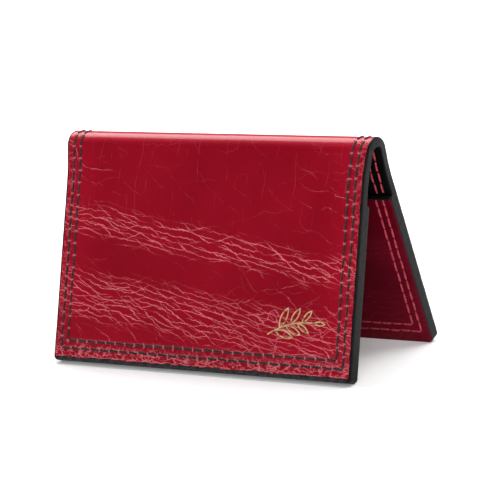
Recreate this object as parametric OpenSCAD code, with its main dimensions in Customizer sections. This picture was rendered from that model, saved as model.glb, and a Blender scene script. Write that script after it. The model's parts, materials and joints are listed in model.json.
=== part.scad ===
// Bifold card holder, standing like a tent with its fold on top.
// Two stiff leather panels hang from one curved spine. Each panel is a red
// outer cover, a black lining and a red pocket whose mouth faces the fold.
// The three free edges are rounded and painted, and two rows of stitches run
// inside them and over the fold.

/* [Panels] */
// Width of the case, along the fold
case_w = 109; // [80:1:140]
// Straight length of each panel, from the end of the fold to its lower edge
panel_h = 66.7; // [50:0.1:90]
// Radius of the lower corners
corner_r = 1.5; // [1.2:0.1:5]
// Angle between the two panels as the case stands
tent_angle = 36; // [12:1:90]

/* [Leather] */
// Thickness of the outer cover
cover_t = 1.5; // [1:0.1:2]
// Thickness of the lining
lining_t = 1.4; // [0.8:0.1:1.8]
// Thickness of the leather of each pocket
pocket_t = 1.4; // [1:0.1:2]
// Room at the fold between the middle plane and each closed pocket
fold_ease = 1; // [0.6:0.1:3]

/* [Pockets] */
// Distance from the end of the fold down to the pocket's mouth
mouth_drop = 15.2; // [7:0.1:25]
// Depth of the flat card slot between a pocket and its lining
slot_gap = 0.35; // [0.2:0.05:0.6]
// Space between the card slot and the inner row of stitches
slot_seam = 0.8; // [0.5:0.1:3]

/* [Painted edges] */
// Width of the painted border on each face
coat_w = 0.8; // [0.5:0.1:1.1]
// Radius that rounds the painted edges
coat_r = 0.6; // [0.6:0.05:1.15]

/* [Stitching] */
// Distance from the side edges to the outer row
seam_side = 2.8; // [2:0.1:6]
// Distance from the lower edge to the outer row
seam_bottom = 4; // [2:0.1:8]
// Distance between the two rows
row_gap = 2.4; // [1.6:0.1:5]
// Distance from one needle hole to the next
pitch = 3.7; // [2.5:0.05:6]
// Leather left between the ends of two stitches
stitch_rest = 0.75; // [0.5:0.05:1.2]
// Thickness of the thread
thread_d = 0.55; // [0.3:0.05:0.7]
// Slant of the outside stitches from their row, in degrees
stitch_slant = 5; // [0:1:8]

/* [Foil emblem] */
// Distance from the emblem's middle to the right-hand edge
emblem_side = 19.5; // [14:0.5:40]
// Distance from the emblem's middle to the lower edge
emblem_bottom = 16; // [14:0.5:40]
// Angle of the sprig from the lower edge, in degrees
emblem_turn = 14; // [0:1:60]
// Length of the sprig's stem
stem_l = 17; // [10:0.5:18]
// Width of the foil lines
foil_line = 0.4; // [0.3:0.05:0.6]
// Length of the lowest pair of leaves
leaf_l = 7; // [4:0.1:8]
// Thickness of the foil
foil_t = 0.12; // [0.08:0.01:0.3]

/* [Hidden] */
$fn = 48;

RED = [0.50, 0.04, 0.11];
BLACK = [0.06, 0.06, 0.07];
CHARCOAL = [0.17, 0.17, 0.18];
DARK_THREAD = [0.12, 0.11, 0.12];
RED_THREAD = [0.75, 0.04, 0.08];
GOLD = [0.83, 0.66, 0.30];

// Stack of leather at the fold and where a pocket adds to it
fold_t = cover_t + lining_t;
stack_t = fold_t + pocket_t;
fold_r = stack_t + fold_ease;
half_tent = tent_angle / 2;
fold_angle = 180 - tent_angle;

// Height of the fold's axis that puts both lower edges on the ground
axis_z = (panel_h - coat_r) * cos(half_tent) + coat_r - (fold_r - stack_t + coat_r) * sin(half_tent);

// Leather sheets end where the painted border starts
sheet_w = case_w - 2 * coat_w;
sheet_h = panel_h - coat_w;
sheet_corner = corner_r - coat_w;

// Each pocket's mouth is a full round, painted like the edges
mouth_r = pocket_t / 2;
pocket_top = mouth_drop + mouth_r;

// Grooves hold the thread just below the leather's face
sink = 0.03;
groove_clear = 0.1;
groove_d = thread_d + 2 * sink;
thread_depth = sink + thread_d / 2;
outside_thread_r = fold_r - thread_depth;
inside_thread_r = fold_r - fold_t + thread_depth;
stitch_l = pitch - stitch_rest;
groove_w = thread_d + stitch_l * sin(stitch_slant) + 2 * groove_clear;
bobbin_groove_w = thread_d + 2 * groove_clear;

// The rows: distance from the side edges, then from the lower edge
outer_row = [seam_side, seam_bottom];
inner_row = outer_row + [row_gap, row_gap];
rows = [outer_row, inner_row];

// Card slot: inside the inner row on all three sides
slot_w = case_w - 2 * (inner_row[0] + slot_seam);
slot_h = panel_h - inner_row[1] - slot_seam;

// Foil lies in a shallow recess pressed into the cover
foil_sink = 0.05;
foil_clear = 0.06;
leaf_pairs = 3;
leaf_w_share = 0.34;
leaf_spread = 42;
leaf_shrink = 0.13;
stem_bend_r = 1.6 * stem_l;
stem_arc = 180 / PI * stem_l / stem_bend_r;

eps = 0.01;

// ---------------------------------------------------------------- placing

// A panel's own frame: z = 0 where the fold ends, the panel runs down -Z,
// and y = 0 is the outside face, with +Y into the leather.
module on_front() {
    translate([0, 0, axis_z]) rotate([-half_tent, 0, 0]) translate([0, -fold_r, 0]) children();
}

module on_rear() {
    mirror([0, 1, 0]) on_front() children();
}

// Turns a flat outline in X and Z into a sheet between two depths
module sheet(from, to) {
    translate([0, to, 0]) rotate([90, 0, 0]) linear_extrude(to - from) children();
}

// Turns a profile (radius, X) around the fold's axis, over the fold's arc
module around_fold() {
    translate([0, 0, axis_z]) rotate([0, 90, 0]) rotate([0, 0, 90 + half_tent])
        rotate_extrude(angle = fold_angle, $fn = 96) children();
}

// ---------------------------------------------------------------- outlines

// Outline of a leather sheet from a given drop down to the lower edge
module sheet_outline(top) {
    translate([-sheet_w / 2, -sheet_h + sheet_corner]) square([sheet_w, sheet_h - sheet_corner - top]);
    translate([-sheet_w / 2 + sheet_corner, -sheet_h])
        square([sheet_w - 2 * sheet_corner, sheet_corner + eps]);
    for (side = [-1, 1])
        translate([side * (sheet_w / 2 - sheet_corner), -sheet_h + sheet_corner]) circle(sheet_corner);
}

// Three-sided groove for one row of stitches, from a given drop
module row_outline(row, width, top) {
    half = case_w / 2 - row[0];
    low = panel_h - row[1];
    for (side = [-1, 1])
        translate([side * half - width / 2, -low - width / 2]) square([width, low - top + width / 2 + eps]);
    translate([-half, -low - width / 2]) square([2 * half, width]);
}

// Section of the painted border: u outwards from the corner's centre, then depth
module coat_section(depth) {
    intersection() {
        translate([corner_r - coat_w, 0]) square([coat_w, depth]);
        union() {
            translate([0, coat_r]) square([corner_r, depth - 2 * coat_r]);
            square([corner_r - coat_r, depth]);
            for (at = [coat_r, depth - coat_r]) translate([corner_r - coat_r, at]) circle(coat_r, $fn = 64);
        }
    }
}

// One side's strip of painted border between two drops
module coat_strip(depth, top, bottom) {
    translate([case_w / 2 - corner_r, 0, -bottom]) linear_extrude(bottom - top) coat_section(depth);
}

// ---------------------------------------------------------------- stitches

// One straight stitch along +X, lying just under a face at y = 0
module stitch(length) {
    translate([-length / 2, thread_depth, 0])
        rotate([0, 90, 0]) cylinder(h = length, d = thread_d, $fn = 24);
}

// Number of stitches that fill a length
function stitch_count(length) = max(1, round(length / pitch));

// Outside stitches of one row on a panel: two sides and the lower edge
module thread_row(row) {
    half = case_w / 2 - row[0];
    low = panel_h - row[1];
    side_n = stitch_count(low);
    side_step = low / side_n;
    for (side = [-1, 1], i = [0:side_n - 1])
        translate([side * half, 0, -(i + 0.5) * side_step])
            rotate([0, 90 + stitch_slant, 0]) stitch(side_step - stitch_rest);
    bottom_n = stitch_count(2 * half);
    bottom_step = 2 * half / bottom_n;
    for (i = [0:bottom_n - 1])
        translate([-half + (i + 0.5) * bottom_step, 0, -low])
            rotate([0, stitch_slant, 0]) stitch(bottom_step - stitch_rest);
}

// Inside stitches of one row, on the lining above the mouth and on the pocket below it
module bobbin_row(row) {
    half = case_w / 2 - row[0];
    low = panel_h - row[1];
    side_n = stitch_count(low);
    side_step = low / side_n;
    for (side = [-1, 1], i = [0:side_n - 1]) {
        start = i * side_step + stitch_rest / 2;
        end = (i + 1) * side_step - stitch_rest / 2;
        if (end < mouth_drop) inside_stitch(side * half, start, end, fold_t);
        if (end - max(start, pocket_top) > thread_d)
            inside_stitch(side * half, max(start, pocket_top), end, stack_t);
    }
    bottom_n = stitch_count(2 * half);
    bottom_step = 2 * half / bottom_n;
    for (i = [0:bottom_n - 1])
        translate([-half + (i + 0.5) * bottom_step, stack_t, -low])
            mirror([0, 1, 0]) stitch(bottom_step - stitch_rest);
}

// One inside stitch of a side row, between two drops, on the face at a depth
module inside_stitch(x, start, end, depth) {
    translate([x, depth, -(start + end) / 2]) mirror([0, 1, 0]) rotate([0, 90, 0]) stitch(end - start);
}

// Stitches of one row over the fold, bent to a radius
module fold_stitches(row, radius) {
    count = stitch_count(fold_r * fold_angle * PI / 180);
    step = fold_angle / count;
    rest = stitch_rest / fold_r * 180 / PI;
    translate([0, 0, axis_z]) rotate([0, 90, 0])
        for (side = [-1, 1], i = [0:count - 1])
            rotate([0, 0, 90 + half_tent + i * step + rest / 2])
                rotate_extrude(angle = step - rest, $fn = 96)
                    translate([radius, side * (case_w / 2 - row[0])]) circle(d = thread_d, $fn = 24);
}

// ---------------------------------------------------------------- emblem

// A pointed leaf from the origin along +X
module whole_leaf(length, grow) {
    w = length * leaf_w_share;
    r = (length * length / 4 + w * w / 4) / w;
    intersection() {
        translate([length / 2, r - w / 2]) circle(r + grow, $fn = 96);
        translate([length / 2, w / 2 - r]) circle(r + grow, $fn = 96);
    }
}

// The leaf drawn as a line
module leaf(length, grow) {
    difference() {
        whole_leaf(length, grow);
        whole_leaf(length, -foil_line - grow);
    }
}

// Moves to a share of the way along the bent stem, with +X along it
module along_stem(share) {
    turn = (0.5 - share) * stem_arc;
    translate([-stem_bend_r * sin(turn), stem_bend_r * (cos(turn) - 1)]) rotate(turn) children();
}

// A sprig: a bent stem, pairs of leaves that shrink upwards, and an end leaf
module sprig(grow) {
    intersection() {
        translate([0, -stem_bend_r]) difference() {
            circle(stem_bend_r + foil_line / 2 + grow, $fn = 192);
            circle(stem_bend_r - foil_line / 2 - grow, $fn = 192);
        }
        translate([-stem_l / 2 - grow, -stem_l / 2]) square([stem_l + 2 * grow, stem_l]);
    }
    for (i = [0:leaf_pairs - 1], side = [-1, 1])
        along_stem(0.2 + 0.24 * i + 0.05 * side)
            rotate(side * leaf_spread) leaf(leaf_l * (1 - leaf_shrink * i), grow);
    along_stem(0.97) leaf(leaf_l * (1 - leaf_shrink * leaf_pairs), grow);
}

module emblem_outline(grow) {
    translate([case_w / 2 - emblem_side - leaf_l / 3, emblem_bottom - panel_h])
        rotate(emblem_turn) sprig(grow);
}

// ---------------------------------------------------------------- panel pieces

module panel_cover() {
    difference() {
        sheet(0, cover_t) sheet_outline(0);
        for (row = rows) sheet(-1, groove_d) row_outline(row, groove_w, 0);
    }
}

module panel_lining() {
    difference() {
        sheet(cover_t, fold_t) sheet_outline(0);
        for (row = rows, side = [-1, 1])
            sheet(fold_t - groove_d, fold_t + 1)
                translate([side * (case_w / 2 - row[0]) - bobbin_groove_w / 2, -mouth_drop])
                    square([bobbin_groove_w, mouth_drop + eps]);
    }
}

module card_slot(top) {
    sheet(fold_t - eps, fold_t + slot_gap)
        translate([-slot_w / 2, -slot_h]) square([slot_w, slot_h - top]);
}

module panel_pocket() {
    difference() {
        sheet(fold_t, stack_t) sheet_outline(pocket_top);
        for (row = rows) sheet(stack_t - groove_d, stack_t + 1) row_outline(row, bobbin_groove_w, pocket_top);
        card_slot(pocket_top - 1);
    }
}

// Half-round painted strip along the pocket's mouth
module panel_mouth_coat() {
    difference() {
        intersection() {
            translate([-sheet_w / 2, fold_t + mouth_r, -pocket_top])
                rotate([0, 90, 0]) cylinder(h = sheet_w, r = mouth_r);
            sheet(fold_t, stack_t)
                translate([-sheet_w / 2, -pocket_top]) square([sheet_w, mouth_r + 1]);
        }
        card_slot(mouth_drop - 1);
    }
}

module panel_edge_coat() {
    corner_z = -(panel_h - corner_r);
    for (side = [0, 1]) mirror([side, 0, 0]) {
        coat_strip(fold_t, 0, mouth_drop);
        coat_strip(stack_t, mouth_drop, panel_h - corner_r);
        translate([case_w / 2 - corner_r, 0, corner_z])
            rotate([-90, 0, 0]) rotate_extrude(angle = 90) coat_section(stack_t);
    }
    translate([-(case_w / 2 - corner_r), 0, corner_z])
        rotate([0, 90, 0]) linear_extrude(case_w - 2 * corner_r) coat_section(stack_t);
}

// ---------------------------------------------------------------- front panel

module front_cover() {
    color(RED) on_front() difference() {
        panel_cover();
        sheet(-1, foil_t + foil_sink) emblem_outline(foil_clear);
    }
}

module front_lining() { color(BLACK) on_front() panel_lining(); }

module front_pocket() { color(RED) on_front() panel_pocket(); }

module front_pocket_mouth_coat() { color(CHARCOAL) on_front() panel_mouth_coat(); }

module front_edge_coat() { color(CHARCOAL) on_front() panel_edge_coat(); }

module front_outer_row_thread() { color(DARK_THREAD) on_front() thread_row(outer_row); }

module front_inner_row_thread() { color(DARK_THREAD) on_front() thread_row(inner_row); }

module front_outer_row_bobbin() { color(RED_THREAD) on_front() bobbin_row(outer_row); }

module front_inner_row_bobbin() { color(RED_THREAD) on_front() bobbin_row(inner_row); }

module foil_emblem() { color(GOLD) on_front() sheet(foil_sink, foil_sink + foil_t) emblem_outline(0); }

// ---------------------------------------------------------------- spine

module spine_cover() {
    color(RED) around_fold() difference() {
        translate([fold_r - cover_t, -sheet_w / 2]) square([cover_t, sheet_w]);
        for (row = rows, side = [-1, 1])
            translate([fold_r - groove_d, side * (case_w / 2 - row[0]) - groove_w / 2])
                square([groove_d + 1, groove_w]);
    }
}

module spine_lining() {
    color(BLACK) around_fold() difference() {
        translate([fold_r - fold_t, -sheet_w / 2]) square([lining_t, sheet_w]);
        for (row = rows, side = [-1, 1])
            translate([fold_r - fold_t - 1, side * (case_w / 2 - row[0]) - bobbin_groove_w / 2])
                square([groove_d + 1, bobbin_groove_w]);
    }
}

module spine_edge_coat() {
    color(CHARCOAL) around_fold()
        for (side = [0, 1]) mirror([0, side])
            translate([fold_r, case_w / 2 - corner_r]) rotate(90) coat_section(fold_t);
}

module spine_outer_row_thread() { color(DARK_THREAD) fold_stitches(outer_row, outside_thread_r); }

module spine_inner_row_thread() { color(DARK_THREAD) fold_stitches(inner_row, outside_thread_r); }

module spine_outer_row_bobbin() { color(RED_THREAD) fold_stitches(outer_row, inside_thread_r); }

module spine_inner_row_bobbin() { color(RED_THREAD) fold_stitches(inner_row, inside_thread_r); }

// ---------------------------------------------------------------- rear panel

module rear_cover() { color(RED) on_rear() panel_cover(); }

module rear_lining() { color(BLACK) on_rear() panel_lining(); }

module rear_pocket() { color(RED) on_rear() panel_pocket(); }

module rear_pocket_mouth_coat() { color(CHARCOAL) on_rear() panel_mouth_coat(); }

module rear_edge_coat() { color(CHARCOAL) on_rear() panel_edge_coat(); }

module rear_outer_row_thread() { color(DARK_THREAD) on_rear() thread_row(outer_row); }

module rear_inner_row_thread() { color(DARK_THREAD) on_rear() thread_row(inner_row); }

module rear_outer_row_bobbin() { color(RED_THREAD) on_rear() bobbin_row(outer_row); }

module rear_inner_row_bobbin() { color(RED_THREAD) on_rear() bobbin_row(inner_row); }

front_cover();
front_lining();
front_pocket();
front_pocket_mouth_coat();
front_edge_coat();
front_outer_row_thread();
front_inner_row_thread();
front_outer_row_bobbin();
front_inner_row_bobbin();
foil_emblem();
spine_cover();
spine_lining();
spine_edge_coat();
spine_outer_row_thread();
spine_inner_row_thread();
spine_outer_row_bobbin();
spine_inner_row_bobbin();
rear_cover();
rear_lining();
rear_pocket();
rear_pocket_mouth_coat();
rear_edge_coat();
rear_outer_row_thread();
rear_inner_row_thread();
rear_outer_row_bobbin();
rear_inner_row_bobbin();
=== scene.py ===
"""Looks for a bifold card holder in glazed red leather that stands like a tent.

Each panel is described flat: x runs along the fold, s runs down the outside face from the
top of the fold, and depth runs into the leather from that face. place() bends the flat
panel over the fold. Those lengths are in millimetres until place() makes metres of them.
"""

import json
import math

import bpy
import numpy as np
from mathutils import Matrix, Vector


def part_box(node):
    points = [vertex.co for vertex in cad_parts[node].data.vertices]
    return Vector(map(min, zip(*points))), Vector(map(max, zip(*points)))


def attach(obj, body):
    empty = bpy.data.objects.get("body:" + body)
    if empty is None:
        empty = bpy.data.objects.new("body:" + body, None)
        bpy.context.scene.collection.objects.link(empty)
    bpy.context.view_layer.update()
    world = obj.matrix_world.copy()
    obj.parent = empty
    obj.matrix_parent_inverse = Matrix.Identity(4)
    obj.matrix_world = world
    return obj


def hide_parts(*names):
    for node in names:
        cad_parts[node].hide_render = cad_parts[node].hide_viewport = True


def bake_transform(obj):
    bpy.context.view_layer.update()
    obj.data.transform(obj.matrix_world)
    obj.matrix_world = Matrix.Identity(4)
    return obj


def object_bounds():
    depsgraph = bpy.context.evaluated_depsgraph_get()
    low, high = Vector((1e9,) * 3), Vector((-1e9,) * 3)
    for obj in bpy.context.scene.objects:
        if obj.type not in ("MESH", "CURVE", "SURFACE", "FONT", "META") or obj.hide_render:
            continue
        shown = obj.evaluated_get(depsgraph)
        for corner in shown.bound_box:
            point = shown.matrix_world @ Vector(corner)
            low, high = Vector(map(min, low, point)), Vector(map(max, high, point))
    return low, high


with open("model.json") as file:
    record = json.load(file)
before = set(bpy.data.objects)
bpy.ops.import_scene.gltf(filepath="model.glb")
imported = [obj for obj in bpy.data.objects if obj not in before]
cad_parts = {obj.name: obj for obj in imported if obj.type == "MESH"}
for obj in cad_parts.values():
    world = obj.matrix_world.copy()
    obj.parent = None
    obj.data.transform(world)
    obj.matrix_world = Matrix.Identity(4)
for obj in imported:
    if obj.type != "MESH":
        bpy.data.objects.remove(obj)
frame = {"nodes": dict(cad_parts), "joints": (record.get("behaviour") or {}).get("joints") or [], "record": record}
cad_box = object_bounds()

# ------------------------------------------------------------------ sizes from the frame

MM = 0.001
FRONT, REAR = -1, 1
PANELS = {FRONT: "front", REAR: "rear"}


def box_mm(node):
    """A CAD node's lowest and highest corners, in millimetres."""
    low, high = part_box(node)
    return np.array(low) / MM, np.array(high) / MM


mounts = {m["name"]: m for m in frame["record"]["mounts"]}
face = mounts["front_cover_face"]
SIN = face["axis"][2]
COS = math.sqrt(1 - SIN * SIN)
top_z = cad_box[1][2] / MM
face_reach = float(np.dot(face["pos_m"], face["axis"])) / MM
AXIS_Z = (top_z - face_reach) / (1 - SIN)
FOLD_R = top_z - AXIS_Z
ARC = FOLD_R * math.acos(SIN)
HALF_W = cad_box[1][0] / MM

cover_low, cover_high = box_mm("front_cover")
PANEL_H = (-cover_low[1] - FOLD_R * COS) / SIN + HALF_W - cover_high[0]
LOW_EDGE = ARC + PANEL_H

hinge = frame["joints"][0]["pos_m"]
FOLD_T = 2 * (FOLD_R - math.hypot(hinge[1] / MM, hinge[2] / MM - AXIS_Z))
pocket_high = box_mm("front_pocket")[1]
pocket_drop = (AXIS_Z + (FOLD_R - FOLD_T) * SIN - pocket_high[2]) / COS
STACK_T = (pocket_high[1] + pocket_drop * SIN) / COS + FOLD_R
POCKET_T = STACK_T - FOLD_T
POCKET_TOP = ARC + pocket_drop
MOUTH = POCKET_TOP - POCKET_T / 2
COVER_T = top_z - box_mm("spine_lining")[1][2]

# ------------------------------------------------------------------ sizes of the looks

# Cut edges, and how far the paint reaches over each face, stands proud and sinks the leather.
EDGE_R = 0.6
CORNER_R = 1.5
SIDE_BORDER = 0.70
LOW_BORDER = 1.45
INSIDE_BORDER = 0.12
PAINT_LIP = 0.035
PAINT_SINK = 0.10
TUCK = 0.12

# The spread at both ends of the fold, and where along x and s it fades out.
FLARE = 1.1
FLARE_WIDTH = 14
FLARE_END = 17

# Seams: distances from the side and lower edge, stitch lengths, and the thread itself.
SEAM_SIDE = 2.8
SEAM_LOW = 4.0
ROW_GAP = 2.4
PITCH = 3.7
FOLD_STITCHES = 3
STITCH_REST = 0.34
STITCH_SLANT = 0.34
THREAD_R = 0.31
THREAD_SUNK = 0.03
THREAD_DIVE = 0.42
TWIST_LENGTH = 1.1
FOIL_LIFT = 0.075
ROWS = {"outer": (SEAM_SIDE, SEAM_LOW), "inner": (SEAM_SIDE + ROW_GAP, SEAM_LOW + ROW_GAP)}

# Bands of crackle: the middle along s, its slope across x, and the half width.
UPPER_BAND = (35.4, 0.13, 4.6)
LOWER_BAND = (57.3, 0.12, 7.2)

# Mesh steps on a face, near its seams, and how many of them make one on the plain back.
FINE = 0.31
SEAM_FINE = 0.22
SEAM_ZONE = 8
COARSE_SHARE = 8
FOLD_STEP = 0.35
EDGE_STEP = 0.6


# ------------------------------------------------------------------ shapes

def place(side, x, s, depth):
    """Points in metres for flat measures on the front (-1) or rear (1) panel.

    Both ends of the fold spread a little, as thick leather does where it is bent.
    """
    x, s, depth = np.broadcast_arrays(x, s, depth)
    spread = smooth(HALF_W - FLARE_WIDTH, HALF_W, np.abs(x)) * (1 - smooth(0, FLARE_END, s))
    x = x + np.sign(x) * FLARE * spread
    angle = np.minimum(s, ARC) / FOLD_R
    drop = np.maximum(s - ARC, 0)
    radius = FOLD_R - depth
    out = radius * np.sin(angle) + drop * SIN
    up = radius * np.cos(angle) - drop * COS
    return np.stack([x, side * out, AXIS_Z + up], -1) * MM


def smooth(low, high, value):
    """0 below low, 1 above high, and an even curve between them."""
    t = np.clip((value - low) / (high - low), 0, 1)
    return t * t * (3 - 2 * t)


def hills(x, y, size, seed):
    """Smooth noise from -1 to 1 with hills about one size across."""
    table = np.random.default_rng(seed).uniform(-1, 1, (64, 64))
    u, v = np.asarray(x) / size, np.asarray(y) / size
    i, j = np.floor(u).astype(int), np.floor(v).astype(int)
    fu, fv = smooth(0, 1, u - i), smooth(0, 1, v - j)
    near = table[i % 64, j % 64] * (1 - fu) + table[(i + 1) % 64, j % 64] * fu
    far = table[i % 64, (j + 1) % 64] * (1 - fu) + table[(i + 1) % 64, (j + 1) % 64] * fu
    return near * (1 - fv) + far * fv


def rounding(edge):
    """How far a face has turned in at a distance from the cut edge."""
    inside = np.clip(EDGE_R - edge, 0, EDGE_R * 0.999)
    return EDGE_R - np.sqrt(EDGE_R**2 - inside**2)


def under_paint(side_edge, low_edge, side_border=SIDE_BORDER, low_border=LOW_BORDER):
    """How far leather sinks below its face where edge paint covers it."""
    by_side = 1 - smooth(0.3 * side_border, 0.75 * side_border, side_edge)
    by_low = 1 - smooth(0.3 * low_border, 0.75 * low_border, low_edge)
    return PAINT_SINK * np.maximum(by_side, by_low)


def make_mesh(name, verts, faces, smooth_faces, flat, material):
    """An object from points in metres, with each point's flat measures kept for its material."""
    mesh = bpy.data.meshes.new(name)
    mesh.from_pydata(verts.tolist(), [], faces)
    mesh.polygons.foreach_set("use_smooth", smooth_faces)
    kept = mesh.attributes.new("flat", "FLOAT_VECTOR", "POINT")
    kept.data.foreach_set("vector", np.ascontiguousarray(flat, dtype=np.float32).ravel())
    mesh.materials.append(material)
    mesh.validate()
    turn_outwards(mesh)
    piece = bpy.data.objects.new(name, mesh)
    bpy.context.scene.collection.objects.link(piece)
    return piece


def turn_outwards(mesh):
    """Flips a closed mesh whose faces look inwards."""
    mesh.calc_loop_triangles()
    corners = np.zeros(len(mesh.loop_triangles) * 3, np.int32)
    mesh.loop_triangles.foreach_get("vertices", corners)
    points = np.zeros(len(mesh.vertices) * 3, np.float32)
    mesh.vertices.foreach_get("co", points)
    a, b, c = points.reshape(-1, 3)[corners.reshape(-1, 3)].transpose(1, 0, 2).astype(float)
    if np.einsum("ij,ij->", a, np.cross(b, c)) < 0:
        mesh.flip_normals()


def lines(start, end, step=FINE, seam_step=SEAM_FINE, seams=(True, True)):
    """Grid lines, closer together near the seams, whose count suits the coarse back."""
    t = np.linspace(start, end, 4000)
    near = (seams[0] & (t < start + SEAM_ZONE)) | (seams[1] & (t > end - SEAM_ZONE))
    passed = np.concatenate([[0], np.cumsum(np.diff(t) / np.where(near, seam_step, step)[1:])])
    count = max(1, round(passed[-1] / COARSE_SHARE)) * COARSE_SHARE
    at = np.interp(np.linspace(0, passed[-1], count + 1), passed, t)
    at[1] = start + 0.1 * (at[1] - start)
    return at


def round_corners(x, s):
    """Draws a sheet's two square lower corners in to the rounded ones."""
    u, v = np.abs(x) - (HALF_W - CORNER_R), s - (LOW_EDGE - CORNER_R)
    inside = (u > 0) & (v > 0)
    share = np.where(inside, np.maximum(u, v) / np.maximum(np.hypot(u, v), 1e-9), 1)
    new_x = np.where(inside, np.sign(x) * (HALF_W - CORNER_R + u * share), x)
    return new_x, np.where(inside, LOW_EDGE - CORNER_R + v * share, s)


def slab(name, side, xs, ss, face_depth, back_depth, material):
    """A closed sheet of leather: a fine face with relief, a coarse plain back, and walls."""
    nx, ns = len(xs), len(ss)
    x, s = round_corners(*np.meshgrid(xs, ss, indexing="ij"))
    fine = np.stack([x, s, face_depth], -1).reshape(-1, 3)
    ci, cj = np.arange(0, nx, COARSE_SHARE), np.arange(0, ns, COARSE_SHARE)
    cx, cs = x[np.ix_(ci, cj)], s[np.ix_(ci, cj)]
    back = np.stack([cx, cs, np.full(cx.shape, back_depth)], -1).reshape(-1, 3)
    flat = np.concatenate([fine, back])
    verts = place(side, *flat.T)

    at = np.arange(nx * ns).reshape(nx, ns)
    quads = np.stack([at[:-1, :-1], at[1:, :-1], at[1:, 1:], at[:-1, 1:]], -1).reshape(-1, 4)
    low = nx * ns + np.arange(len(ci) * len(cj)).reshape(len(ci), len(cj))
    backs = np.stack([low[:-1, :-1], low[:-1, 1:], low[1:, 1:], low[1:, :-1]], -1).reshape(-1, 4)
    walls = []
    for top, bottom in (
        (at[:, 0], low[:, 0]), (at[-1, :], low[-1, :]),
        (at[::-1, -1], low[::-1, -1]), (at[0, ::-1], low[0, ::-1]),
    ):
        for k in range(len(bottom) - 1):
            run = top[k * COARSE_SHARE : (k + 1) * COARSE_SHARE + 1]
            walls.append([int(bottom[k]), int(bottom[k + 1]), *run[::-1].tolist()])
    faces = quads.tolist() + backs.tolist() + walls
    shading = [True] * len(quads) + [False] * (len(backs) + len(walls))
    return make_mesh(name, verts, faces, shading, flat * [1, -side, 1], material)


def needle_holes(row):
    """Where a side row's holes are along s: over the fold, then down the panel."""
    first = ARC / FOLD_STITCHES
    end = LOW_EDGE - row[1]
    count = round((end - ARC) / PITCH)
    return np.concatenate([[-first, first], np.linspace(ARC, end, count + 1)])


def low_holes(row):
    """Where a lower row's holes are along x."""
    half = HALF_W - row[0]
    count = round(2 * half / PITCH)
    return np.linspace(-half, half, count + 1)


def seam_relief(x, s):
    """How deep the stitches pull the leather in, over a panel."""
    pull = np.zeros(x.shape)
    for row in ROWS.values():
        half, end = HALF_W - row[0], LOW_EDGE - row[1]
        for across, along, holes, inside in (
            (np.abs(x) - half, s, needle_holes(row), s < end + 0.2),
            (s - end, x, low_holes(row), np.abs(x) < half + 0.2),
        ):
            k = np.clip(np.searchsorted(holes, along), 1, len(holes) - 1)
            to_hole = np.minimum(np.abs(along - holes[k - 1]), np.abs(along - holes[k]))
            trench = 0.16 * np.exp(-((across / 0.5) ** 2)) * smooth(0, 0.9, to_hole)
            hole = 0.22 * np.exp(-((across / 0.24) ** 2) - ((to_hole - 0.25) / 0.24) ** 2)
            ridge = 0.07 * np.exp(-((across / 0.9) ** 2) - (to_hole / 0.3) ** 2)
            pull += inside * (trench + hole - ridge)
    return pull


def surface_waves(x, s, seed):
    """Slight unevenness of a stiff leather panel."""
    broad = 0.05 * hills(x, s, 23, seed) + 0.02 * hills(x, s, 7, seed + 1)
    return broad + 0.006 * hills(x, s, 1.3, seed + 2)


def cover(side, material):
    """The outer leather of one panel and its half of the fold."""
    xs = lines(-HALF_W + TUCK, HALF_W - TUCK)
    ss = lines(0, LOW_EDGE - TUCK, seams=(False, True))
    x, s = np.meshgrid(xs, ss, indexing="ij")
    waves = surface_waves(x, s, 3) * smooth(0, 9, s)
    if side == FRONT:
        waves *= 1 - emblem_zone(x, s)
    edge = np.minimum(HALF_W - np.abs(x), LOW_EDGE - s)
    depth = seam_relief(x, s) + waves * smooth(1, 4, edge) + rounding(edge)
    depth += under_paint(HALF_W - np.abs(x), LOW_EDGE - s)
    return slab(f"{PANELS[side]}_cover_leather", side, xs, ss, depth, COVER_T, material)


def emblem_zone(x, s):
    """1 over the foil emblem, so that the leather is flat under it."""
    low, high = box_mm("foil_emblem")
    top = (AXIS_Z + FOLD_R * SIN - high[2]) / COS + ARC
    bottom = (AXIS_Z + FOLD_R * SIN - low[2]) / COS + ARC
    in_x = smooth(low[0] - 4, low[0] - 1, x) * (1 - smooth(high[0] + 1, high[0] + 4, x))
    return in_x * smooth(top - 4, top - 1, s) * (1 - smooth(bottom + 1, bottom + 4, s))


def lining(side, material):
    """The black lining, which runs under the pocket to the lower edge."""
    xs = lines(-HALF_W + TUCK, HALF_W - TUCK, 2 * FINE, SEAM_FINE)
    ss = lines(0, LOW_EDGE - TUCK, 2 * FINE, 2 * FINE)
    x, s = np.meshgrid(xs, ss, indexing="ij")
    pull = seam_relief(x, s)
    edge = np.minimum(HALF_W - np.abs(x), LOW_EDGE - s)
    above = 1 - smooth(MOUTH - 0.5, MOUTH, s)
    depth = FOLD_T - above * (0.8 * pull + rounding(edge) + 0.01 * hills(x, s, 1.1, 21)) - 0.01
    return slab(f"{PANELS[side]}_black_lining", side, xs, ss, depth, COVER_T + 0.01, material)


def pocket(side, material):
    """The inner pocket, flat against the lining while it is empty."""
    xs = lines(-HALF_W + TUCK, HALF_W - TUCK)
    ss = lines(POCKET_TOP, LOW_EDGE - TUCK, seams=(False, True))
    x, s = np.meshgrid(xs, ss, indexing="ij")
    edge = np.minimum(HALF_W - np.abs(x), LOW_EDGE - s)
    waves = surface_waves(x, s, 31) * smooth(1, 4, edge)
    depth = STACK_T - seam_relief(x, s) - waves - rounding(edge)
    depth -= under_paint(HALF_W - np.abs(x), LOW_EDGE - s, 2 * INSIDE_BORDER, 2 * INSIDE_BORDER)
    return slab(f"{PANELS[side]}_pocket_leather", side, xs, ss, depth, FOLD_T, material)


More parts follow.
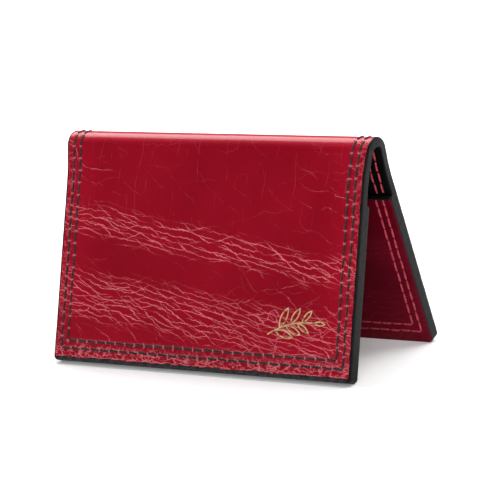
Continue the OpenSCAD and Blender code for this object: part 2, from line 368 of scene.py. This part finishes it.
def sweep(name, side, rings, material):
    """A closed skin through equal rings of flat measures, shape (ring, point, 3)."""
    count, around = rings.shape[:2]
    flat = rings.reshape(-1, 3)
    at = np.arange(count * around).reshape(count, around)
    after = np.roll(at, -1, axis=1)
    quads = np.stack([at[:-1], at[1:], after[1:], after[:-1]], -1).reshape(-1, 4).tolist()
    ends = [at[0].tolist(), at[-1][::-1].tolist()]
    shading = [True] * len(quads) + [False] * len(ends)
    return make_mesh(name, place(side, *flat.T), quads + ends, shading, flat * [1, -side, 1], material)


def edge_path():
    """(x, s, outward x, outward s) from the fold down one side, along the lower edge and up again."""
    inset_x, inset_s = HALF_W - CORNER_R, LOW_EDGE - CORNER_R
    down = np.concatenate([[0], np.arange(0.05, ARC, FOLD_STEP), np.arange(ARC, inset_s, EDGE_STEP)])
    right = [(inset_x, s, 1, 0) for s in down]
    turns = np.linspace(0, math.pi / 2, 9)
    corner = [(inset_x, inset_s, math.cos(t), math.sin(t)) for t in turns]
    low = [(x, inset_s, 0, 1) for x in np.arange(inset_x - EDGE_STEP, 0, -EDGE_STEP)]
    half = right + corner + low
    other = [(-x, s, -ox, os) for x, s, ox, os in reversed(half)]
    return np.array(half + other)


def edge_coat(side, material):
    """Paint over the rounded edges: a thin lip on each face, thickest at the cut edge."""
    path = edge_path()
    x, s, out_x, out_s = path.T
    outline = path[:, :2] + CORNER_R * path[:, 2:]
    run = np.concatenate([[0], np.cumsum(np.hypot(*np.diff(outline, axis=0).T))])
    thick = FOLD_T + POCKET_T * smooth(MOUTH - 0.2, MOUTH + 0.5, s)
    border = SIDE_BORDER + (LOW_BORDER - SIDE_BORDER) * out_s**2
    border = border * (1 + 0.16 * hills(run, 0 * run, 2.6, 41) + 0.10 * hills(run, 0 * run, 0.9, 42))
    inside = INSIDE_BORDER * (1 + 0.2 * hills(run, 0 * run, 3.1, 43))
    steps = np.linspace(0, 1, 6)
    section = []
    for t in steps:
        edge = border * (1 - t) ** 1.6
        section.append((edge, rounding(edge) - PAINT_LIP))
    for t in (0.25, 0.5, 0.75):
        section.append((0.02 * np.sin(run * 1.7), EDGE_R + (thick - 2 * EDGE_R) * t))
    for t in steps[::-1]:
        edge = inside * (1 - t) ** 1.6
        section.append((edge, thick - rounding(edge) + PAINT_LIP))
    section.append((inside + 0.02, thick - 0.5))
    section.append((np.minimum(border, inside) + 0.02, 0 * run + 0.5))
    rings = []
    for k, (edge, depth) in enumerate(section):
        lump = 0.03 * hills(run, depth, 1.7, 44) if k < len(section) - 2 else 0
        reach = CORNER_R - edge + lump
        rings.append(np.stack([x + out_x * reach, s + out_s * reach, depth], -1))
    return sweep(f"{PANELS[side]}_edge_paint", side, np.stack(rings, 1), material)


def mouth_coat(side, material):
    """Half-round painted edge along a pocket's mouth."""
    x = np.linspace(-HALF_W + 2 * TUCK, HALF_W - 2 * TUCK, 200)
    radius = POCKET_T / 2
    rings = []
    for t in np.linspace(-math.pi / 2, math.pi / 2, 11):
        lump = 1 + 0.04 * hills(x, t * 2 + 0 * x, 1.5, 51)
        rings.append(np.stack([x, POCKET_TOP - radius * math.cos(t) * lump,
                               STACK_T - radius + radius * math.sin(t) * lump], -1))
    for depth in (STACK_T - 0.1, FOLD_T + 0.1):
        rings.append(np.stack([x, POCKET_TOP + 0.5 + 0 * x, depth + 0 * x], -1))
    return sweep(f"{PANELS[side]}_mouth_paint", side, np.stack(rings, 1), material)


def stitch_spans(row):
    """Both ends of each stitch of a row, as (x, s, x, s), with the half stitch at the fold first."""
    half, end = HALF_W - row[0], LOW_EDGE - row[1]
    holes = needle_holes(row)
    spans = []
    for x in (-half, half):
        for a, b in zip(holes[:-1], holes[1:]):
            spans.append((x, max(a, 0), x, b))
    across = low_holes(row)
    for a, b in zip(across[:-1], across[1:]):
        spans.append((a, end, b, end))
    return np.array(spans)


def threads(name, side, spans, face_depth, inwards, slant, material, seed):
    """Every stitch of a row as a twisted thread that dives into its needle holes."""
    along, around = 15, 8
    rng = np.random.default_rng(seed)
    wobble = rng.uniform(-1, 1, (len(spans), 4))
    t = np.linspace(0, 1, along)
    a, b = spans[:, None, :2], spans[:, None, 2:]
    length = np.linalg.norm(spans[:, 2:] - spans[:, :2], axis=1)[:, None]
    at_fold = (spans[:, 1] == 0)[:, None]
    cut = STITCH_REST / 2 / length
    t = np.where(at_fold, t * (1 - cut), cut + t * (1 - 2 * cut))
    middle = a + (b - a) * t[..., None]
    sideways = (b - a)[..., ::-1] * [1, -1] / length[..., None]
    lean = (0.5 - t) * slant + 0.06 * wobble[:, :1] + 0.09 * wobble[:, 1:2] * np.sin(math.pi * t)
    middle = middle + sideways * lean[..., None]
    to_end = np.where(at_fold, 1 - t, np.minimum(t, 1 - t)) * length - STITCH_REST / 2
    dive = 1 - smooth(0, 0.55, to_end)
    sunk = THREAD_SUNK + 0.03 * wobble[:, 2:3] + THREAD_DIVE * dive
    depth = face_depth[:, None] + inwards * sunk
    x, s = middle[..., 0], middle[..., 1]
    spine = place(side, x, s, depth)
    normal = place(side, x, s, depth - 1) - place(side, x, s, depth)
    normal /= np.linalg.norm(normal, axis=-1, keepdims=True)
    ahead = np.gradient(spine, axis=1)
    ahead /= np.linalg.norm(ahead, axis=-1, keepdims=True)
    wide = np.cross(ahead, normal)
    wide /= np.linalg.norm(wide, axis=-1, keepdims=True)
    normal = np.cross(wide, ahead)
    turn = np.linspace(0, 2 * math.pi, around, endpoint=False)
    twist = 2 * turn - 2 * math.pi * (t * length)[..., None] / TWIST_LENGTH
    radius = THREAD_R * MM * (1 + 0.12 * np.cos(twist) + 0.05 * wobble[:, 3:4, None])
    ring = spine[:, :, None] + radius[..., None] * (
        np.cos(turn)[:, None] * wide[:, :, None] + np.sin(turn)[:, None] * normal[:, :, None])
    count = len(spans)
    at = np.arange(count * along * around).reshape(count, along, around)
    after = np.roll(at, -1, axis=2)
    quads = np.stack([at[:, :-1], at[:, 1:], after[:, 1:], after[:, :-1]], -1).reshape(-1, 4).tolist()
    ends = at[:, 0, ::-1].tolist() + at[:, -1].tolist()
    flat = np.stack([x, -side * s, depth], -1)[:, :, None].repeat(around, 2).reshape(-1, 3)
    shading = [True] * len(quads) + [False] * len(ends)
    return make_mesh(name, ring.reshape(-1, 3), quads + ends, shading, flat, material)


def outside_threads(side, row, material):
    """The dark stitches of a row, on the cover's face."""
    spans = stitch_spans(ROWS[row])
    name = f"{PANELS[side]}_{row}_row_stitches"
    return threads(name, side, spans, np.zeros(len(spans)), 1, STITCH_SLANT, material, 61)


def inside_threads(side, row, material):
    """Bobbin stitches: on the lining above the mouth, and on the pocket below it."""
    spans = stitch_spans(ROWS[row])
    upright = spans[:, 0] == spans[:, 2]
    crossing = upright & (spans[:, 1] < POCKET_TOP) & (spans[:, 3] > MOUTH)
    spans[crossing, 1] = POCKET_TOP
    on_pocket = spans[:, 1] >= POCKET_TOP
    length = np.hypot(spans[:, 2] - spans[:, 0], spans[:, 3] - spans[:, 1])
    keep = length > 1.6 * STITCH_REST
    depth = np.where(on_pocket, STACK_T, FOLD_T)
    name = f"{PANELS[side]}_{row}_row_bobbin_stitches"
    return threads(name, side, spans[keep], depth[keep], -1, 0.0, material, 71)


def emblem(material):
    """The foil sprig, lifted level with the leather's face."""
    node = frame["nodes"]["foil_emblem"]
    mesh = node.data.copy()
    mesh.name = "foil_sprig"
    lift = FOIL_LIFT * MM
    mesh.transform(Matrix.Translation(Vector((0, -COS * lift, SIN * lift))))
    mesh.materials.clear()
    mesh.materials.append(material)
    piece = bpy.data.objects.new("foil_sprig", mesh)
    bpy.context.scene.collection.objects.link(piece)
    return piece


# ------------------------------------------------------------------ materials

class Shader:
    """One material's nodes, with short calls to add them."""

    def __init__(self, name):
        self.material = bpy.data.materials.new(name)
        self.material.use_nodes = True
        self.tree = self.material.node_tree
        self.surface = self.tree.nodes["Principled BSDF"]
        attribute = self.add("ShaderNodeAttribute", attribute_name="flat")
        self.flat = attribute.outputs["Vector"]
        split = self.add("ShaderNodeSeparateXYZ", {0: self.flat})
        self.x, self.s, self.depth = split.outputs

    def add(self, kind, inputs=None, **settings):
        node = self.tree.nodes.new(kind)
        for key, value in settings.items():
            setattr(node, key, value)
        for key, value in (inputs or {}).items():
            self.feed(node.inputs[key], value)
        return node

    def feed(self, socket, value):
        if isinstance(value, bpy.types.NodeSocket):
            self.tree.links.new(value, socket)
        else:
            socket.default_value = value

    def set(self, **sockets):
        for key, value in sockets.items():
            self.feed(self.surface.inputs[key.replace("_", " ")], value)

    def math(self, operation, *values):
        return self.add("ShaderNodeMath", dict(enumerate(values)), operation=operation).outputs[0]

    def step(self, low, high, value):
        """Smooth from 0 at low to 1 at high, or down again if low is the larger."""
        node = self.add("ShaderNodeMapRange", interpolation_type="SMOOTHSTEP")
        for name, given in (("Value", value), ("From Min", low), ("From Max", high)):
            self.feed(node.inputs[name], given)
        return node.outputs[0]

    def mix(self, share, a, b):
        node = self.add("ShaderNodeMix", data_type="RGBA")
        for socket, given in ((node.inputs[0], share), (node.inputs[6], a), (node.inputs[7], b)):
            self.feed(socket, given)
        return node.outputs[2]

    def noise(self, scale, detail=2.0, roughness=0.5, at=None):
        sockets = {"Vector": self.flat if at is None else at, "Scale": scale,
                   "Detail": detail, "Roughness": roughness}
        return self.add("ShaderNodeTexNoise", sockets).outputs[0]

    def turned(self, degrees, shift):
        sockets = {"Vector": self.flat, "Location": (shift * 17.3, shift * 9.1, shift * 5.7),
                   "Rotation": (0, 0, math.radians(degrees))}
        return self.add("ShaderNodeMapping", sockets).outputs[0]

    def bump(self, height, strength, distance=0.1 * MM, under=None):
        sockets = {"Height": height, "Strength": strength, "Distance": distance}
        if under is not None:
            sockets["Normal"] = under
        return self.add("ShaderNodeBump", sockets).outputs[0]


def cracks(sh, degrees, spacing, run, share, width, jag, shift, sway=2.6):
    """Long jagged lines at an angle, a spacing apart, that fade in and out along their run.

    The share of each line that is seen, its half width and its jaggedness are given, then a
    shift that makes a pattern of its own, and how many spacings the lines sway.
    """
    at = sh.turned(degrees, shift)
    split = sh.add("ShaderNodeSeparateXYZ", {0: at})
    x, y = split.outputs[0], split.outputs[1]
    bend = sh.math("MULTIPLY", sh.math("SUBTRACT", sh.noise(0.07, 1.0, 0.5, at), 0.5), sway * spacing)
    rough = sh.math("MULTIPLY", sh.math("SUBTRACT", sh.noise(0.42, 4.0, 0.62, at), 0.5), jag)
    v = sh.math("DIVIDE", sh.math("ADD", sh.math("ADD", y, bend), rough), spacing)
    number = sh.math("FLOOR", v)
    from_line = sh.math("ABSOLUTE", sh.math("SUBTRACT", sh.math("FRACT", v), 0.5))
    apart = sh.math("MULTIPLY", from_line, spacing)
    strand = sh.add("ShaderNodeCombineXYZ", {
        0: sh.math("DIVIDE", x, run), 1: sh.math("MULTIPLY", number, 7.31), 2: float(shift)})
    strength = sh.noise(1.0, 2.0, 0.6, strand.outputs[0])
    seen = sh.step(1 - share - 0.08, 1 - share + 0.10, strength)
    half = sh.math("MULTIPLY", seen, width)
    line = sh.step(half, sh.math("MULTIPLY", half, 0.25), apart)
    return sh.math("MULTIPLY", line, seen)


def most(sh, values):
    """The largest of several values."""
    out = values[0]
    for value in values[1:]:
        out = sh.math("MAXIMUM", out, value)
    return out


def band(sh, s, middle, slope, half_width, shift):
    """1 inside a slanting band of the panel, with a ragged border."""
    centre = sh.math("MULTIPLY_ADD", sh.x, slope, middle)
    ragged = sh.math("MULTIPLY", sh.math("SUBTRACT", sh.noise(0.09, 2.0, 0.5, sh.turned(0, shift)), 0.5), 7.0)
    away = sh.math("ABSOLUTE", sh.math("ADD", sh.math("SUBTRACT", s, centre), ragged))
    return sh.step(half_width * 1.35, half_width * 0.55, away)


def stitch_glints(sh, s, row):
    """Painted highlights at each needle hole: a pale spot and short pale streaks across a row of stitches."""
    half, end = HALF_W - row[0], LOW_EDGE - row[1]
    pitch = (end - ARC) / round((end - ARC) / PITCH)
    over_fold_count = sh.math("DIVIDE", sh.math("MINIMUM", s, ARC), 2 * ARC / FOLD_STITCHES)
    down_count = sh.math("DIVIDE", sh.math("MAXIMUM", sh.math("SUBTRACT", s, ARC), 0.0), pitch)
    down = sh.math("ADD", sh.math("ADD", over_fold_count, down_count), 1.0)
    low_pitch = 2 * half / round(2 * half / PITCH)
    along_low = sh.math("ADD", sh.math("DIVIDE", sh.math("ADD", sh.x, half), low_pitch), 0.5)
    from_side = sh.math("SUBTRACT", sh.math("ABSOLUTE", sh.x), half)
    from_low = sh.math("SUBTRACT", s, end)
    jitter = sh.math("MULTIPLY", sh.math("SUBTRACT", sh.noise(1.1, 4.0, 0.7), 0.5), 1.9)
    length = sh.math("MULTIPLY_ADD", sh.noise(0.45, 2.0, 0.6, sh.turned(15, 13)), 4.4, -1.2)
    length = sh.math("MAXIMUM", length, 0.3)
    out = []
    for count, across, inside in (
        (down, from_side, sh.step(0.9, 0.3, from_low)),
        (along_low, from_low, sh.step(0.9, 0.3, from_side)),
    ):
        to_hole = sh.math("MULTIPLY", sh.math("SUBTRACT", sh.math("FRACT", count), 0.5), PITCH)
        to_hole = sh.math("ABSOLUTE", sh.math("ADD", to_hole, jitter))
        away = sh.math("ABSOLUTE", across)
        reach = sh.step(length, 0.1, away)
        glint_streak = sh.math("MULTIPLY", sh.step(0.26, 0.03, to_hole), reach)
        glint_spot = sh.math("MULTIPLY", sh.step(0.55, 0.15, to_hole), sh.step(0.55, 0.15, away))
        out.append(sh.math("MULTIPLY", sh.math("MAXIMUM", glint_streak, glint_spot), inside))
    return sh.math("MAXIMUM", *out)


def margin_crackle(sh, side_edge, low_edge):
    """Broken crackle in the strip outside the stitches, strongest along the lower edge, and a broken painted
    highlight line just inside the lower edge.
    """
    nets = []
    for scale, degrees, shift in ((0.36, 8, 10), (0.62, -14, 11)):
        at = sh.add("ShaderNodeVectorMath", {0: sh.turned(degrees, shift), 1: (0.75, 1.35, 1)},
                    operation="MULTIPLY").outputs[0]
        push = sh.add("ShaderNodeTexNoise", {"Vector": at, "Scale": 1.0, "Detail": 3.0}).outputs["Color"]
        push = sh.add("ShaderNodeVectorMath", {0: push, 1: (1.5, 1.5, 0)}, operation="MULTIPLY").outputs[0]
        at = sh.add("ShaderNodeVectorMath", {0: at, 1: push}, operation="ADD").outputs[0]
        net = sh.add("ShaderNodeTexVoronoi", {"Vector": at, "Scale": scale}, feature="DISTANCE_TO_EDGE")
        patches = sh.step(0.43, 0.54, sh.noise(0.4, 2.0, 0.5, sh.turned(0, shift)))
        nets.append(sh.math("MULTIPLY", sh.step(0.075, 0.012, net.outputs["Distance"]), patches))
    low = sh.step(6.4, 3.4, low_edge)
    side = sh.math("MULTIPLY", sh.step(4.6, 2.2, side_edge), 0.34)
    wander = sh.math("MULTIPLY_ADD", sh.noise(0.5, 3.0, 0.6), 1.3, 1.0)
    # Painted highlight: a broken pale line where the leather turns down to the paint at the lower edge.
    turn = sh.step(0.26, 0.04, sh.math("ABSOLUTE", sh.math("SUBTRACT", low_edge, wander)))
    turn = sh.math("MULTIPLY", turn, sh.step(0.40, 0.55, sh.noise(0.45, 2.0)))
    return sh.math("MAXIMUM", sh.math("MULTIPLY", most(sh, nets), sh.math("MAXIMUM", low, side)), turn)


def glazed_leather(name, deep, warm, pale, veins_and_glints, coat, specular):
    """Glossy red leather whose glaze has crackled into pale lines; the same pale colour also paints highlights at
    the needle holes and along the lower edge.
    """
    sh = Shader(name)
    s = sh.math("ABSOLUTE", sh.s)

    upper = band(sh, s, *UPPER_BAND, 1)
    lower = band(sh, s, *LOWER_BAND, 2)
    in_bands = sh.math("MAXIMUM", upper, lower)
    dense = most(sh, [
        cracks(sh, -11, 1.9, 13, 0.60, 0.15, 1.7, 3),
        cracks(sh, -27, 2.8, 9, 0.55, 0.17, 2.0, 4),
        cracks(sh, 1, 3.0, 9, 0.52, 0.13, 1.7, 5),
    ])
    low_half = sh.step(44, 56, s)
    loose = most(sh, [
        cracks(sh, -38, 6.5, 11, 0.50, 0.13, 2.6, 6, 1.2),
        cracks(sh, 14, 7.5, 11, 0.48, 0.12, 2.4, 7, 1.2),
        cracks(sh, -66, 9.0, 9, 0.40, 0.12, 2.6, 8, 1.0),
    ])
    upright = cracks(sh, 88, 3.6, 9, 0.48, 0.11, 0.7, 9, 1.3)
    high = sh.step(36, 20, s)
    side_edge = sh.math("SUBTRACT", HALF_W, sh.math("ABSOLUTE", sh.x))
    low_edge = sh.math("SUBTRACT", LOW_EDGE, s)
    edge = sh.math("MINIMUM", side_edge, low_edge)
    by_sides = sh.math("MULTIPLY", sh.step(26, 8, side_edge), sh.step(40, 24, s))
    low_right = sh.math("MULTIPLY", low_half, sh.step(-5, 25, sh.x))
    right = sh.math("MULTIPLY", sh.step(0, 36, sh.x), sh.step(28, 42, s))
    scattered = sh.math("MAXIMUM", sh.math("MULTIPLY_ADD", low_half, 0.60, 0.12),
                        sh.math("MULTIPLY", right, 0.62))
    lines_seen = most(sh, [
        sh.math("MULTIPLY", dense, in_bands),
        sh.math("MULTIPLY", cracks(sh, -20, 5.2, 7, 0.50, 0.13, 2.4, 21),
                sh.math("MULTIPLY", by_sides, 0.85)),
        sh.math("MULTIPLY", loose, scattered),
        sh.math("MULTIPLY", cracks(sh, 24, 6.5, 9, 0.56, 0.13, 2.2, 15),
                sh.math("MULTIPLY", low_right, 0.7)),
        sh.math("MULTIPLY", upright, sh.math("MULTIPLY", high, 0.17)),
        margin_crackle(sh, side_edge, low_edge),
        # Painted highlights at the needle holes of both rows.
        sh.math("MULTIPLY", stitch_glints(sh, s, ROWS["outer"]), 0.85),
        sh.math("MULTIPLY", stitch_glints(sh, s, ROWS["inner"]), 0.85),
    ])
    lines_seen = sh.math("MULTIPLY", lines_seen, veins_and_glints)

    cloud = sh.step(0.32, 0.68, sh.noise(0.035, 3.0, 0.55))
    near_edge = sh.step(16, 1, edge)
    # Painted highlight: the colour turns warmer and brighter over the top of the fold.
    fold_highlight = sh.step(5.5, 2.0, s)
    bloom = sh.math("ADD", sh.math("MULTIPLY", cloud, 0.30),
                    sh.math("ADD", sh.math("MULTIPLY", near_edge, 0.40), sh.math("MULTIPLY", in_bands, 0.2)))
    base = sh.mix(sh.math("ADD", bloom, fold_highlight), deep, warm)
    pores = sh.noise(2.4, 3.0, 0.7)
    base = sh.mix(sh.math("MULTIPLY", sh.step(0.35, 0.75, pores), 0.18), base, warm)
    base = sh.mix(lines_seen, base, pale)

    grain = sh.bump(sh.noise(1.5, 4.0, 0.65), 0.12, 0.08 * MM)
    relief = sh.bump(lines_seen, 0.40, 0.06 * MM, grain)
    rough = sh.math("MULTIPLY_ADD", pores, 0.10, 0.30)
    rough = sh.math("MULTIPLY_ADD", lines_seen, 0.15, rough)
    sh.set(Base_Color=base, Roughness=rough, Normal=relief, Coat_Weight=coat, Coat_Roughness=0.08,
           Specular_IOR_Level=specular)
    return sh.material


def lining_leather():
    """Dull black leather with a fine pebble grain."""
    sh = Shader("black_lining")
    cells = sh.add("ShaderNodeTexVoronoi", {"Vector": sh.flat, "Scale": 1.7, "Randomness": 1.0})
    pebbles = cells.outputs["Distance"]
    base = sh.mix(sh.noise(0.5, 3.0), (0.0015, 0.0015, 0.0018, 1), (0.0042, 0.0038, 0.0046, 1))
    height = sh.math("ADD", pebbles, sh.math("MULTIPLY", sh.noise(3.0, 3.0), 0.5))
    rough = sh.math("MULTIPLY_ADD", sh.noise(1.0, 2.0), 0.15, 0.48)
    sh.set(Base_Color=base, Roughness=rough, Specular_IOR_Level=0.05,
           Normal=sh.bump(height, 0.25, 0.08 * MM))
    return sh.material


def edge_paint(name, dark, light):
    """Charcoal paint, with painted light from the floor along the lower border, and the glued layers just showing.
    """
    sh = Shader(name)
    mottle = sh.noise(2.0, 5.0, 0.75)
    base = sh.mix(sh.step(0.40, 0.64, mottle), dark, light)
    for layer in (COVER_T, FOLD_T):
        near = sh.math("ABSOLUTE", sh.math("SUBTRACT", sh.depth, layer))
        base = sh.mix(sh.math("MULTIPLY", sh.step(0.16, 0.02, near), 0.5), base, dark)
    dust = sh.step(0.68, 0.80, sh.noise(2.2, 2.0, 0.5, sh.turned(30, 12)))
    base = sh.mix(sh.math("MULTIPLY", dust, 0.35), base, (0.05, 0.05, 0.055, 1))
    # Painted light: the paint is made paler along the lower border, where it faces light bounced from the floor.
    lowest = sh.step(LOW_EDGE - 3.0, LOW_EDGE - 1.6, sh.math("ABSOLUTE", sh.s))
    inboard = sh.step(HALF_W - 0.6, HALF_W - 3.0, sh.math("ABSOLUTE", sh.x))
    floor_bounce_light = sh.math("MULTIPLY_ADD", sh.step(0.36, 0.66, sh.noise(0.55, 5.0, 0.75)), 0.75, 0.25)
    floor_bounce_light = sh.math("MULTIPLY", floor_bounce_light, sh.math("MULTIPLY", lowest, inboard))
    base = sh.mix(floor_bounce_light, base, (0.060, 0.054, 0.059, 1))
    rough = sh.math("MULTIPLY_ADD", mottle, 0.2, 0.40)
    sh.set(Base_Color=base, Roughness=rough, Specular_IOR_Level=0.13,
           Normal=sh.bump(sh.noise(2.4, 4.0, 0.7), 0.7, 0.10 * MM))
    return sh.material


def waxed_thread(name, dark, light):
    """Twisted thread with a slight wax gloss."""
    sh = Shader(name)
    fibres = sh.noise(5.0, 3.0, 0.7)
    base = sh.mix(sh.step(0.35, 0.7, fibres), dark, light)
    rough = sh.math("MULTIPLY_ADD", fibres, 0.2, 0.42)
    sh.set(Base_Color=base, Roughness=rough, Specular_IOR_Level=0.35,
           Normal=sh.bump(fibres, 0.4, 0.05 * MM))
    return sh.material


def gold_foil():
    """Pressed foil with painted highlights and painted shade: one noise mixes dark brown into the gold and also
    sets its roughness and bump.
    """
    sh = Shader("gold_foil")
    where = sh.add("ShaderNodeTexCoord").outputs["Object"]
    glint_noise = sh.noise(800, 3.0, 0.6, where)
    # Painted highlights and painted shade: patches of pale gold and dark brown across the strokes.
    base = sh.mix(sh.step(0.33, 0.50, glint_noise), (0.42, 0.18, 0.045, 1), (1.0, 0.74, 0.36, 1))
    rough = sh.math("MULTIPLY_ADD", glint_noise, 0.2, 0.24)
    sh.set(Base_Color=base, Metallic=0.6, Roughness=rough, Normal=sh.bump(glint_noise, 1.0, 0.22 * MM))
    return sh.material


# ------------------------------------------------------------------ pieces, the pockets, their mouth paint and the sprig on their bodies

red = glazed_leather("glazed_red_leather", (0.275, 0.0008, 0.011, 1), (0.46, 0.005, 0.025, 1),
                     (0.80, 0.20, 0.23, 1), 1.0, 0.42, 0.12)
# The pockets use the red leather's colours darkened, as painted shade inside the case, with less gloss.
shaded_pocket_red = glazed_leather("pocket_red_leather", (0.085, 0.0004, 0.007, 1), (0.15, 0.001, 0.012, 1),
                            (0.30, 0.03, 0.05, 1), 0.22, 0.04, 0.04)
black = lining_leather()
paint = edge_paint("edge_paint", (0.0012, 0.0010, 0.0013, 1), (0.0095, 0.0078, 0.0095, 1))
mouth_paint = edge_paint("mouth_paint", (0.003, 0.003, 0.0035, 1), (0.008, 0.007, 0.008, 1))
dark_thread = waxed_thread("dark_thread", (0.003, 0.0025, 0.003, 1), (0.042, 0.038, 0.043, 1))
red_thread = waxed_thread("red_thread", (0.42, 0.016, 0.036, 1), (0.72, 0.10, 0.14, 1))


def over_fold(side, piece, slot, *nodes):
    """Fixes a piece where it stands and hides the CAD nodes that it stands for."""
    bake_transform(piece)
    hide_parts(*nodes)


for side, panel in PANELS.items():
    over_fold(side, cover(side, red), "cover_leather", f"{panel}_cover", "spine_cover")
    over_fold(side, lining(side, black), "black_lining", f"{panel}_lining", "spine_lining")
    over_fold(side, edge_coat(side, paint), "edge_paint", f"{panel}_edge_coat", "spine_edge_coat")
    for row in ROWS:
        over_fold(side, outside_threads(side, row, dark_thread), "dark_thread",
                  f"{panel}_{row}_row_thread", f"spine_{row}_row_thread")
        over_fold(side, inside_threads(side, row, red_thread), "red_thread",
                  f"{panel}_{row}_row_bobbin", f"spine_{row}_row_bobbin")
    for piece, slot, node in (
        (pocket(side, shaded_pocket_red), "pocket_leather", f"{panel}_pocket"),
        (mouth_coat(side, mouth_paint), "edge_paint", f"{panel}_pocket_mouth_coat"),
    ):
        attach(piece, f"{panel}_panel")
        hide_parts(node)

sprig = emblem(gold_foil())
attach(sprig, "front_panel")
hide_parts("foil_emblem")

# ------------------------------------------------------------------ studio

def studio_floor():
    """A pale floor that glows more with distance, so that it meets the horizon without a line."""
    mesh = bpy.data.meshes.new("floor")
    reach = 6.0
    corners = [(-reach, -reach, 0), (reach, -reach, 0), (reach, reach, 0), (-reach, reach, 0)]
    mesh.from_pydata(corners, [], [(0, 1, 2, 3)])
    floor = bpy.data.objects.new("floor", mesh)
    bpy.context.scene.collection.objects.link(floor)
    material = bpy.data.materials.new("pale_floor")
    material.use_nodes = True
    tree = material.node_tree
    surface = tree.nodes["Principled BSDF"]
    surface.inputs["Base Color"].default_value = (0.88, 0.88, 0.88, 1)
    surface.inputs["Roughness"].default_value = 0.9
    surface.inputs["Specular IOR Level"].default_value = 0.1
    surface.inputs["Emission Color"].default_value = (1, 1, 1, 1)
    where = tree.nodes.new("ShaderNodeNewGeometry")
    away = tree.nodes.new("ShaderNodeVectorMath")
    away.operation = "LENGTH"
    tree.links.new(where.outputs["Position"], away.inputs[0])
    fade = tree.nodes.new("ShaderNodeMapRange")
    fade.interpolation_type = "SMOOTHSTEP"
    tree.links.new(away.outputs["Value"], fade.inputs["Value"])
    for name, value in (("From Min", 0.15), ("From Max", 1.0), ("To Min", 0.2), ("To Max", 1.0)):
        fade.inputs[name].default_value = value
    tree.links.new(fade.outputs[0], surface.inputs["Emission Strength"])
    mesh.materials.append(material)


def softbox(name, where, look_at, size, radiance):
    """An area lamp of (wide, high) metres whose face has the given radiance."""
    light = bpy.data.lights.new(name, "AREA")
    light.shape = "RECTANGLE"
    light.size, light.size_y = size
    light.energy = radiance * math.pi * size[0] * size[1]
    lamp = bpy.data.objects.new(name, light)
    lamp.location = where
    lamp.rotation_euler = (Vector(look_at) - Vector(where)).to_track_quat("-Z", "Y").to_euler()
    bpy.context.scene.collection.objects.link(lamp)


def pale_horizon():
    """A world that is pale at the horizon and dim above it, as in a studio with a dark ceiling."""
    world = bpy.data.worlds.new("studio")
    bpy.context.scene.world = world
    world.use_nodes = True
    tree = world.node_tree
    where = tree.nodes.new("ShaderNodeTexCoord")
    split = tree.nodes.new("ShaderNodeSeparateXYZ")
    tree.links.new(where.outputs["Generated"], split.inputs[0])
    fade = tree.nodes.new("ShaderNodeMapRange")
    fade.interpolation_type = "SMOOTHSTEP"
    tree.links.new(split.outputs[2], fade.inputs["Value"])
    for name, value in (("From Min", 0.03), ("From Max", 0.11), ("To Min", 1.0), ("To Max", 0.05)):
        fade.inputs[name].default_value = value
    tree.links.new(fade.outputs[0], tree.nodes["Background"].inputs["Strength"])
    tree.nodes["Background"].inputs["Color"].default_value = (1, 1, 1, 1)


def camera(azimuth, elevation, roll, aim, distance, lens):
    """A camera at an angle round the case, turned about its own line of sight by roll."""
    a, e, r = (math.radians(v) for v in (azimuth, elevation, roll))
    back = Vector((math.sin(a) * math.cos(e), -math.cos(a) * math.cos(e), math.sin(e)))
    right = Vector((math.cos(a), math.sin(a), 0))
    up = back.cross(right)
    turned_up = up * math.cos(r) + right * math.sin(r)
    turned_right = turned_up.cross(back)
    data = bpy.data.cameras.new("camera")
    data.lens = lens
    data.clip_start, data.clip_end = 0.01, 20
    eye = bpy.data.objects.new("camera", data)
    rotation = Matrix((turned_right, turned_up, back)).transposed()
    eye.matrix_world = Matrix.Translation(Vector(aim) + back * distance) @ rotation.to_4x4()
    bpy.context.scene.collection.objects.link(eye)
    bpy.context.scene.camera = eye


studio_floor()
pale_horizon()
softbox("overhead", (-0.4, 0.50, 0.9), (-0.4, 0.50, 0), (2.4, 0.84), 5.0)
softbox("key", (0.55, -0.75, 0.75), (0, 0, 0.03), (0.5, 0.5), 5.9)
camera(35.63, 12.96, 6.37, (0.0031, 0, 0.0354), 0.8121, 200.8)
bpy.context.scene.view_settings.view_transform = "Standard"
